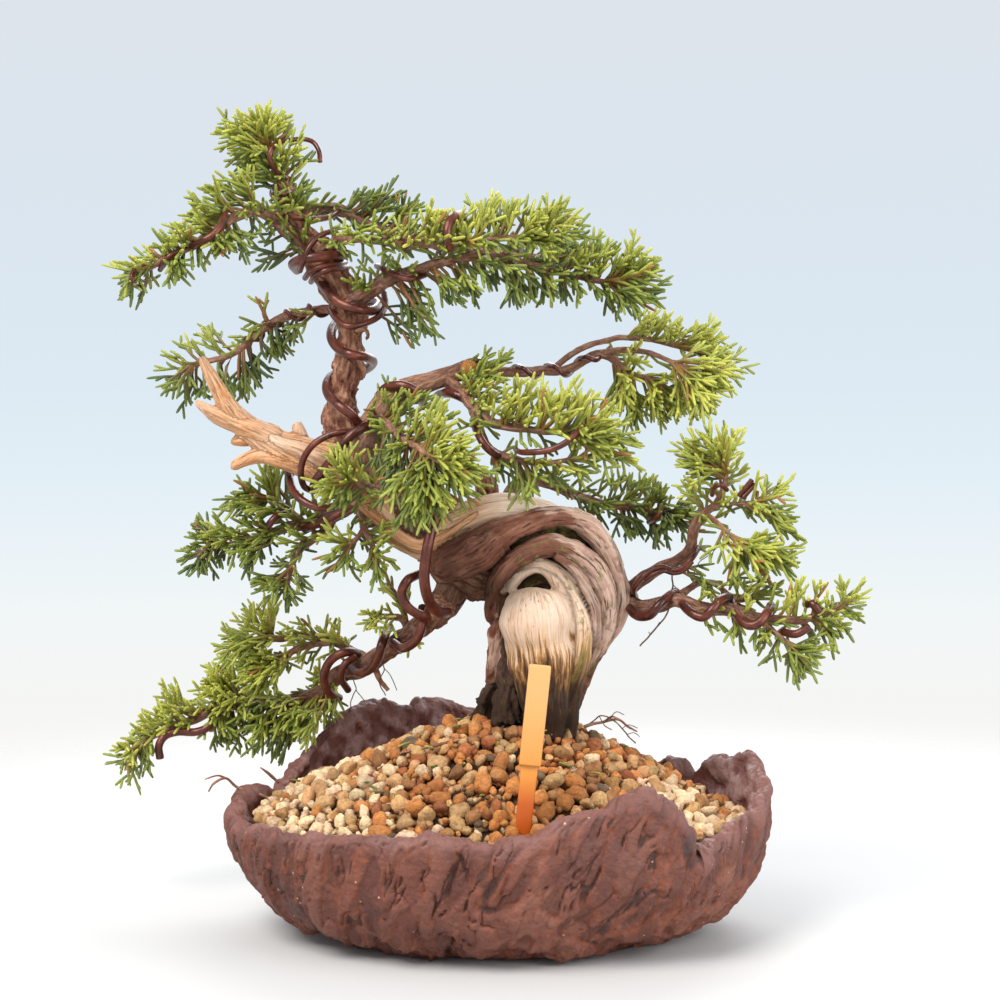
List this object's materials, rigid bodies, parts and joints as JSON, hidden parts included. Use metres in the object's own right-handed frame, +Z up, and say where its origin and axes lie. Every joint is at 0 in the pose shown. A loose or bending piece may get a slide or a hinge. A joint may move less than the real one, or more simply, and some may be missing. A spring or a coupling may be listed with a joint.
{
  "type": "bonsai tree in a pot",
  "caption": "Wired juniper bonsai with twisted trunk, deadwood and foliage pads, standing in a torn-rim clay bowl of grit with a bare label stake.",
  "frame": {"origin": "middle of the pot's flat base, on the surface it stands on", "axes": "+Z up, +X to the right seen from the display side, -Y towards the viewer"},
  "size_m": [0.2271, 0.1319, 0.2446],
  "materials": {
    "pot": "unglazed, bark-like carved clay",
    "soil": "rounded grit of orange clay, pumice and lava",
    "trunk": "live bark veins round bare deadwood",
    "bark": "flaky red-brown bark",
    "foliage": "soft scale-leaf shoots, slightly waxy",
    "wire": "copper-brown anodised, satin",
    "stake": "bare orange moulded plastic",
    "netting": "moulded drainage netting"
  },
  "bodies": {
    "root": {"pot": "pot", "drain_mesh_left": "netting", "drain_mesh_right": "netting", "mesh_clip_left": "wire", "mesh_clip_right": "wire", "anchor_wire": "wire", "soil": "soil", "trunk": "trunk", "branch_top_left": "bark", "branch_top_right": "bark", "branch_top_right_upper": "bark", "branch_top_back": "bark", "branch_upper_left": "bark", "branch_centre": "bark", "branch_front": "bark", "branch_centre_low": "bark", "branch_behind": "bark", "branch_left": "bark", "twig_under_arm": "bark", "twig_front": "bark", "branch_low_left": "bark", "branch_low_left_spur": "bark", "branch_right": "bark", "branch_low_right": "bark", "surface_root_left": "bark", "surface_root_right": "bark", "wire_leader": "wire", "wire_leader_top": "wire", "wire_jin": "wire", "wire_low_left_inner": "wire", "wire_low_left_outer": "wire", "wire_low_right": "wire", "wire_centre": "wire", "wire_top_left": "wire", "wire_top_right": "wire", "wire_right": "wire", "wire_upper_left": "wire", "wire_left": "wire", "wire_centre_low": "wire", "wire_behind": "wire", "wire_arm_loop": "wire", "foliage_apex": "foliage", "foliage_top_left": "foliage", "foliage_top_right": "foliage", "foliage_upper_left": "foliage", "foliage_centre": "foliage", "foliage_front": "foliage", "foliage_centre_low": "foliage", "foliage_behind": "foliage", "foliage_left": "foliage", "foliage_under_arm": "foliage", "foliage_twig": "foliage", "foliage_low_left": "foliage", "foliage_right": "foliage", "foliage_low_right": "foliage", "label_stake": "stake"}
  },
  "joints": []
}
